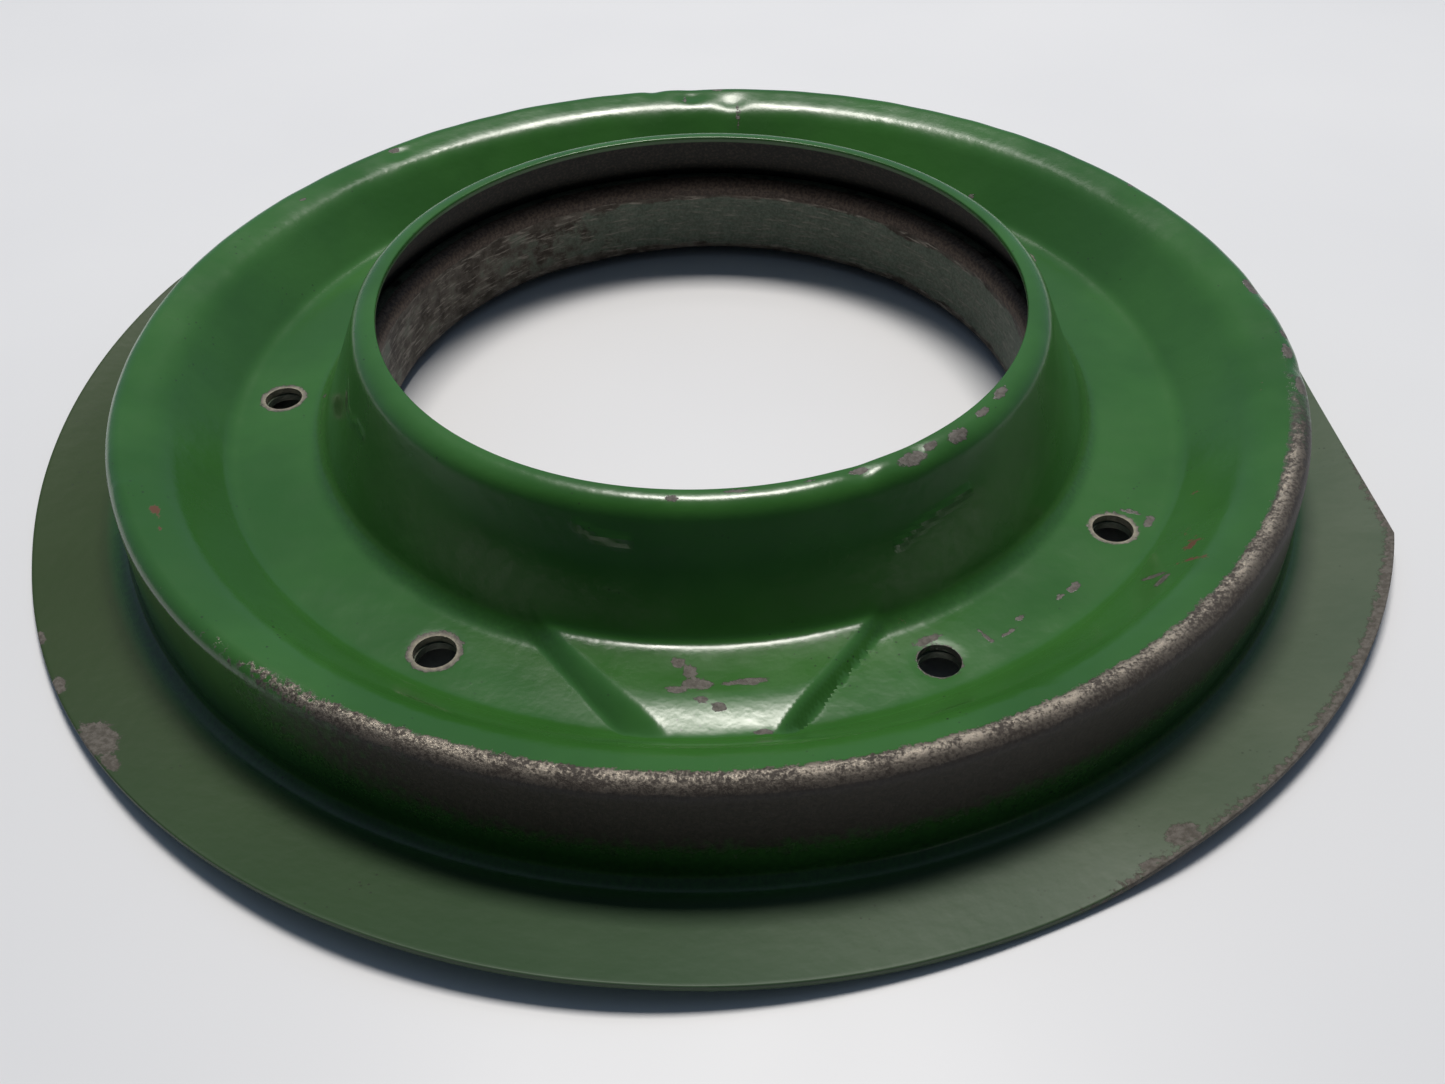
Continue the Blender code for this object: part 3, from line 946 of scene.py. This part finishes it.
def green_paint():
    """Gloss green paint over steel, with chips, worn bare steel, brown film, dull flange, painted
    shade and painted sheen.
    """
    f = Finish("green_paint", PAINT)
    place = f.place()
    broad = f.noise(place, *BROAD_NOISE)
    fine = f.noise(place, *FINE_NOISE)
    ragged = f.noise(place, *RAGGED_NOISE)
    patchy = f.noise(place, *PATCHY_NOISE)
    rubbed = f.noise(f.turned_place(RUBBED_STRETCH), *FINE_NOISE)
    flange = f.mask("flange")
    inside = f.mask("inside")

    # Where each kind of wear is, and where shade and sheen are painted
    jagged = f.times(f.math("SUBTRACT", ragged, 0.5), 1.15)
    chips = f.step(f.plus(f.mask("chipped"), jagged), *CHIP_EDGE)
    halo = f.step(f.plus(f.mask("chipped"), jagged), *HALO_EDGE)
    worn = f.step(f.plus(f.mask("crest_bare"), f.times(jagged, 1.25)), *WORN_EDGE)
    rust = f.step(f.plus(f.mask("rusted"), f.times(jagged, 1.5)), *RUST_EDGE)
    film = f.step(f.plus(f.mask("brown_film"), f.times(jagged, 0.9)), *FILM_EDGE)
    rim = f.times(f.mask("rim"), f.range(ragged, 0.35, 0.6, 0.4, 1.0))
    bare = f.math("MAXIMUM", worn, chips)
    clouds = f.noise(place, *POLISH_CLOUDS)
    polished = f.step(f.plus(patchy, f.times(clouds, 0.45)), *POLISH_EDGE)
    polished = f.times(polished, f.range(f.mask("ridge"), 0.0, 1.0, 0.22, 1.0))
    dust_and_sheen_share = f.times(f.mask("dust_and_sheen"), f.range(broad, *NOISE_SPAN, 0.5, 1.0))
    crease_shade = f.times(f.mask("crease_shade"), f.range(fine, *NOISE_SPAN, 0.2, 0.9))
    specked = f.step(f.noise(place, *SPECK_CLOUDS), 0.56, 0.68)
    specks = f.times(f.step(f.cells(place, SPECK_CELLS), 0.16, 0.08), specked)

    # Colour, from the paint to what lies over it or shows through it, and the painted shade and
    # sheen
    dull = f.mix(f.range(rubbed, *NOISE_SPAN, 0.0, 0.6), PAINT_DULL, PAINT_RUBBED)
    # Lighter flange paint on the side that catches the light: dust and painted sheen
    dull = f.mix(dust_and_sheen_share, dull, PAINT_DUST_AND_SHEEN)
    dull = f.mix(f.mask("olive"), dull, OLIVE)
    colour = f.mix(f.step(broad, 0.35, 0.7), PAINT_DEEP, PAINT)
    colour = f.mix(f.times(flange, 0.9), colour, dull)
    # Painted shade: the creases at the collar's foot and low on the wall are darkened
    colour = f.mix(crease_shade, colour, CREASE_SHADE)
    colour = f.mix(f.times(specks, 0.8), colour, SPECK)
    colour = f.mix(film, colour, f.mix(f.step(patchy, 0.35, 0.7), BROWN, BROWN_LIGHT))
    colour = f.mix(worn, colour, f.mix(polished, STEEL_DARK, STEEL_LIGHT))
    colour = f.mix(halo, colour, CHIP_HALO)
    colour = f.mix(chips, colour, f.mix(f.step(fine, 0.35, 0.65), CHIP_DARK, CHIP_LIGHT))
    colour = f.mix(rim, colour, STEEL_RIM)
    colour = f.mix(rust, colour, RUST)
    # Painted shade: the collar's inner face is painted near black with brown patches
    colour = f.mix(inside, colour, f.mix(f.step(patchy, 0.45, 0.65), INSIDE_SHADE, INSIDE_SHADE_BROWN))

    # Shine
    metallic = f.times(worn, f.range(polished, 0.0, 1.0, 0.20, 0.90))
    metallic = f.math("MAXIMUM", metallic, f.times(chips, 0.15))
    metallic = f.math("MAXIMUM", metallic, f.times(rim, 0.6))
    roughness = f.range(f.noise(place, *GLOSS_CLOUDS), *NOISE_SPAN, *GLOSS)
    roughness = f.blend(flange, roughness, FLANGE_ROUGH)
    roughness = f.blend(film, roughness, FILM_ROUGH)
    roughness = f.blend(bare, roughness, f.range(polished, 0.0, 1.0, *STEEL_ROUGH))
    roughness = f.blend(rust, roughness, RUST_ROUGH)
    roughness = f.blend(inside, roughness, INSIDE_ROUGH)
    shine = f.blend(flange, 0.5, 0.30)

    # Relief: orange peel, runs, the thickness of the paint, and pits in bare steel
    peel = f.plus(f.noise(place, *PEEL_FINE), f.times(f.noise(place, *PEEL_BROAD), 1.5))
    thickness = f.math("SUBTRACT", 1.0, f.math("MAXIMUM", chips, f.times(worn, 0.7)))
    pits = f.times(f.math("MAXIMUM", bare, f.times(film, 0.5)), patchy)
    normal = f.bump(peel, PEEL_DEPTH)
    normal = f.bump(f.mask("runs"), RUN_DEPTH, normal)
    normal = f.bump(thickness, PAINT_DEPTH, normal)
    normal = f.bump(pits, PIT_DEPTH, normal)
    return f.finish(
        colour=colour, metallic=metallic, roughness=roughness, shine=shine, normal=normal,
    )


def worn_steel():
    """Dull brown steel, brushed round the sleeve, with green overspray on its wall."""
    f = Finish("worn_steel", STEEL_DARK)
    place = f.place()
    streaks = f.noise(f.turned_place(SLEEVE_STRETCH), *SLEEVE_STREAKS)
    patchy = f.noise(place, *SLEEVE_PATCHES)
    fine = f.noise(place, *SLEEVE_FINE)

    ragged = f.times(f.math("SUBTRACT", patchy, 0.5), 1.3)
    spray = f.step(f.plus(f.mask("overspray"), ragged), *SPRAY_EDGE)
    spray = f.times(spray, f.range(streaks, 0.35, 0.7, 0.95, 0.35))
    rust = f.step(f.plus(f.mask("rusted"), ragged), *SLEEVE_RUST_EDGE)
    covered = f.math("MAXIMUM", spray, rust)

    grain = f.step(fine, 0.4, 0.6)
    colour = f.mix(f.step(patchy, 0.35, 0.65), SLEEVE_DARK, SLEEVE_LIGHT)
    colour = f.mix(f.step(streaks, 0.52, 0.66), colour, SLEEVE_STREAK)
    colour = f.mix(spray, colour, f.mix(grain, SPRAY_DARK, SPRAY_LIGHT))
    colour = f.mix(rust, colour, f.mix(grain, SLEEVE_RUST_DARK, SLEEVE_RUST_LIGHT))

    metallic = f.times(f.math("SUBTRACT", 1.0, covered), 0.75)
    roughness = f.range(streaks, *NOISE_SPAN, *SLEEVE_ROUGH)
    roughness = f.blend(rust, roughness, SLEEVE_RUST_ROUGH)
    normal = f.bump(f.plus(streaks, f.times(fine, 0.6)), BRUSHED_DEPTH)
    normal = f.bump(patchy, SLEEVE_PIT_DEPTH, normal)
    return f.finish(colour=colour, metallic=metallic, roughness=roughness, normal=normal)


def table_top():
    """Plain pale floor, very slightly clouded."""
    f = Finish("table_top", TABLE_MIDDLE)
    cloudy = f.noise(f.place(), *TABLE_CLOUDS)
    colour = f.mix(cloudy, TABLE_DARK, TABLE_LIGHT)
    roughness = f.range(cloudy, *NOISE_SPAN, *TABLE_ROUGH)
    return f.finish(colour=colour, roughness=roughness)


# ---------------------------------------------------------------- pieces


# The bolt holes of the ring sit a little off those of the shield
RING_HOLE_SHIFT = (0.25, -0.3)

FLOOR_REACH = 6.0
FLOOR_SQUARES = 8

# The sky: the directions between which it brightens, and its strengths there
SKY_SPAN = (-0.5, 0.6)
SKY_STRENGTHS = (0.07, 0.34)
SKY_SEEN = 0.75
SKY_COLOUR = (0.55, 0.74, 1.0)

PANELS = (
    # name, place and size in metres, energy, colour
    ("top_panel", (0.05, 0.52, 1.6), (0.60, 0.36), 24.5, (1.0, 0.965, 0.905)),
    ("back_panel", (0.0, 0.84, 1.45), (0.80, 0.22), 1.6, (1.0, 0.98, 0.95)),
)

# The camera, in millimetres and degrees
CAMERA_PLACE = (3.9, -277.3, 206.6)
CAMERA_TILT = 41.9
CAMERA_ROLL = -0.96
CAMERA_LENS = 34.38
CAMERA_NEAR = 0.01


def add_piece(name, corners, angles, shaper, shift, masks, material, node):
    """Makes one stamping and gives it to the part's only body."""
    piece = linked(name, turned_mesh(name, corners, angles, shaper))
    faced_outwards(piece.data)
    punched(piece, shift)
    masks(piece.data)
    piece.data.shade_smooth()
    piece.data.set_sharp_from_angle(angle=math.radians(SHARP_ANGLE))
    piece.data.materials.clear()
    piece.data.materials.append(material)
    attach(piece, "root")
    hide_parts(node)
    return piece


def add_floor():
    shape = bmesh.new()
    bmesh.ops.create_grid(
        shape, x_segments=FLOOR_SQUARES, y_segments=FLOOR_SQUARES, size=FLOOR_REACH,
    )
    mesh = bpy.data.meshes.new("table")
    shape.to_mesh(mesh)
    shape.free()
    floor = linked("table", mesh)
    floor.data.materials.append(table_top())


def add_panel(name, place, size, energy, colour):
    """A soft light panel that faces the middle of the part."""
    light = bpy.data.lights.new(name, "AREA")
    light.shape = "RECTANGLE"
    light.size, light.size_y = size
    light.energy = energy
    light.color = colour
    panel = linked(name, light)
    panel.location = place
    panel.rotation_euler = (Vector() - Vector(place)).to_track_quat("-Z", "Y").to_euler()


def add_world():
    """A dim sky that is brighter behind the part than in front, and brighter still when seen."""
    world = bpy.data.worlds.new("studio")
    world.use_nodes = True
    tree = world.node_tree
    background = tree.nodes["Background"]
    direction = tree.nodes.new("ShaderNodeTexCoord").outputs["Generated"]
    split = tree.nodes.new("ShaderNodeSeparateXYZ")
    tree.links.new(direction, split.inputs[0])
    spread = tree.nodes.new("ShaderNodeMapRange")
    spread.interpolation_type = "SMOOTHSTEP"
    spread.inputs["From Min"].default_value = SKY_SPAN[0]
    spread.inputs["From Max"].default_value = SKY_SPAN[1]
    spread.inputs["To Min"].default_value = SKY_STRENGTHS[0]
    spread.inputs["To Max"].default_value = SKY_STRENGTHS[1]
    tree.links.new(split.outputs[1], spread.inputs["Value"])
    lit = tree.nodes.new("ShaderNodeMix")
    lit.data_type = "FLOAT"
    seen = tree.nodes.new("ShaderNodeLightPath").outputs["Is Camera Ray"]
    tree.links.new(seen, lit.inputs[0])
    tree.links.new(spread.outputs[0], lit.inputs[2])
    lit.inputs[3].default_value = SKY_SEEN
    tree.links.new(lit.outputs[0], background.inputs["Strength"])
    background.inputs["Color"].default_value = (*SKY_COLOUR, 1.0)
    bpy.context.scene.world = world


def add_camera():
    """The camera at the photograph's viewing angle."""
    camera = linked("camera", bpy.data.cameras.new("camera"))
    camera.data.lens = CAMERA_LENS
    camera.data.clip_start = CAMERA_NEAR
    tilt = Matrix.Rotation(math.radians(90.0 - CAMERA_TILT), 4, "X")
    roll = Matrix.Rotation(math.radians(CAMERA_ROLL), 4, "Z")
    camera.matrix_world = Matrix.Translation(Vector(CAMERA_PLACE) * MM) @ tilt @ roll
    bpy.context.scene.camera = camera


add_piece(
    "ring_shield", shield_corners(), turn_angles(flange_corners()), shape_shield, (0.0, 0.0),
    write_shield_masks, green_paint(), "shield",
)
add_piece(
    "sleeve_ring", inner_ring_corners(), turn_angles([]), shape_inner_ring, RING_HOLE_SHIFT,
    write_ring_masks, worn_steel(), "inner_ring",
)
add_floor()
add_world()
for panel in PANELS:
    add_panel(*panel)
add_camera()
bpy.context.scene.view_settings.view_transform = "Standard"
